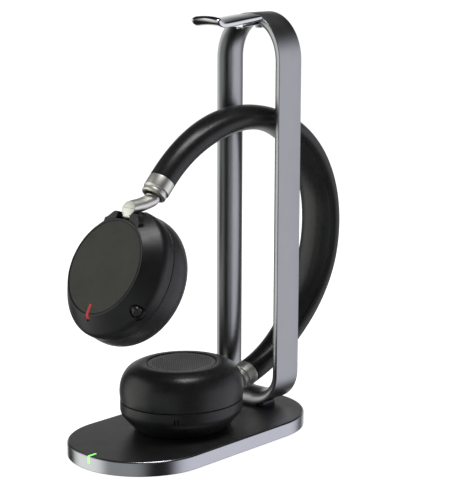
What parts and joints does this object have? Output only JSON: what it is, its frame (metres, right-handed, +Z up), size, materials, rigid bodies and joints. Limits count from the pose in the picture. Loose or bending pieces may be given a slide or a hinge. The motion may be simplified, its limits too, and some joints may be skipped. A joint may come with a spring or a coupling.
{
  "type": "wireless office headset on charging stand",
  "caption": "On-ear wireless office headset with padded headband and round cups, resting on an oval charging stand with an upright loop and hook",
  "frame": {"origin": "middle of the stand's underside, on the surface it stands on", "axes": "+Z up; the oval base is long along Y; -Y is the end with the status light, +Y the end with the upright loop; +X is the side the microphone boom points to"},
  "size_m": [0.08, 0.1974, 0.2302],
  "materials": {
    "anodised_grey": "satin anodised",
    "black_metal": "satin black",
    "polished_metal": "polished, warm silver",
    "steel": "plain steel",
    "black_plastic": "fine satin",
    "cap_plastic": "very fine matt grain",
    "leatherette": "smooth, softly shining",
    "speaker_fabric": "fine open weave over the speaker",
    "foam": "open-cell foam",
    "rubber": "matt",
    "copper": "enamelled copper wire",
    "ferrite": "sintered ferrite",
    "circuit_board": "solder mask",
    "battery": "foil pouch",
    "green_light": "clear light guide, lit green",
    "red_light": "clear light guide, lit red"
  },
  "bodies": {
    "stand": {"base_shell": "anodised_grey", "bottom_cover": "black_plastic", "cover_screw_left": "steel", "cover_screw_right": "steel", "foot_pad": "rubber", "ballast_plate": "steel", "charging_pad": "black_plastic", "coil_ferrite": "ferrite", "charging_coil": "copper", "stand_board": "circuit_board", "stand_usb_socket": "steel", "status_light": "green_light", "loop_plinth": "black_metal", "loop_frame": "anodised_grey", "loop_screw_front": "steel", "loop_screw_rear": "steel", "hook_plate": "polished_metal", "hook_bracket": "steel", "hook_screw_front": "steel", "hook_screw_rear": "steel"},
    "lower_cup": {"lower_cap_plate": "cap_plastic", "lower_housing": "black_plastic", "lower_baffle": "black_plastic", "lower_driver": "steel", "lower_ear_cushion": "leatherette", "lower_foam_disc": "foam", "lower_speaker_mesh": "speaker_fabric", "lower_tilt_pin": "steel", "receiver_coil": "copper", "receiver_ferrite": "ferrite", "control_board": "circuit_board"},
    "lower_post": {"lower_swivel_post": "polished_metal"},
    "lower_arm": {"lower_slider_arm": "polished_metal"},
    "headband": {"headband_cover": "leatherette", "headband_cushion": "leatherette", "headband_spring": "steel", "upper_ferrule": "polished_metal", "upper_ferrule_bush": "black_plastic", "lower_ferrule": "polished_metal", "lower_ferrule_bush": "black_plastic"},
    "upper_arm": {"upper_slider_arm": "polished_metal"},
    "upper_post": {"upper_swivel_post": "polished_metal"},
    "upper_cup": {"upper_cap_plate": "cap_plastic", "upper_housing": "black_plastic", "upper_baffle": "black_plastic", "upper_driver": "steel", "upper_ear_cushion": "leatherette", "upper_foam_disc": "foam", "upper_speaker_mesh": "speaker_fabric", "upper_tilt_pin": "steel", "busy_light": "red_light", "boom_sleeve": "black_plastic", "battery": "battery", "main_board": "circuit_board", "headset_usb_socket": "steel"},
    "boom": {"mic_boom": "polished_metal"},
    "power_switch": {"power_switch": "black_plastic"},
    "volume_down": {"volume_down_button": "black_plastic"},
    "call": {"call_button": "black_plastic"},
    "volume_up": {"volume_up_button": "black_plastic"}
  },
  "joints": [
    {"name": "headset_lift", "type": "slide", "parent": "stand", "child": "lower_cup", "axis": [0, -0.9848, 0.1736], "range_m": [0, 0.12]},
    {"name": "lower_tilt", "type": "hinge", "parent": "lower_cup", "child": "lower_post", "pos_m": [0, 0.0234, 0.0129], "axis": [-1, 0, 0], "range_deg": [0, 6]},
    {"name": "lower_swivel", "type": "hinge", "parent": "lower_post", "child": "lower_arm", "pos_m": [0, 0.0234, 0.0129], "axis": [0, 1, 0], "range_deg": [-0.8, 0.8]},
    {"name": "lower_extend", "type": "slide", "parent": "lower_arm", "child": "headband", "axis": [0, 0.9655, 0.2605], "range_m": [0, 0.018]},
    {"name": "upper_extend", "type": "slide", "parent": "headband", "child": "upper_arm", "axis": [0, -0.6959, -0.7181], "range_m": [0, 0.018]},
    {"name": "upper_swivel", "type": "hinge", "parent": "upper_arm", "child": "upper_post", "pos_m": [0, -0.04568, 0.13017], "axis": [0, 0.4848, 0.8746], "range_deg": [-15, 90]},
    {"name": "upper_tilt", "type": "hinge", "parent": "upper_post", "child": "upper_cup", "pos_m": [0, -0.04568, 0.13017], "axis": [-1, 0, 0], "range_deg": [0, 30]},
    {"name": "boom_slide", "type": "slide", "parent": "upper_cup", "child": "boom", "axis": [0.816, -0.2802, -0.5056], "range_m": [0, 0.04]},
    {"name": "power_slide", "type": "slide", "parent": "upper_cup", "child": "power_switch", "axis": [0, 0.4848, 0.8746], "range_m": [0, 0.003]},
    {"name": "volume_down_push", "type": "slide", "parent": "lower_cup", "child": "volume_down", "axis": [1, 0, 0], "range_m": [0, 0.0006], "stiffness_N_per_m": 600},
    {"name": "call_push", "type": "slide", "parent": "lower_cup", "child": "call", "axis": [1, 0, 0], "range_m": [0, 0.0006], "stiffness_N_per_m": 600},
    {"name": "volume_up_push", "type": "slide", "parent": "lower_cup", "child": "volume_up", "axis": [1, 0, 0], "range_m": [0, 0.0006], "stiffness_N_per_m": 600}
  ]
}
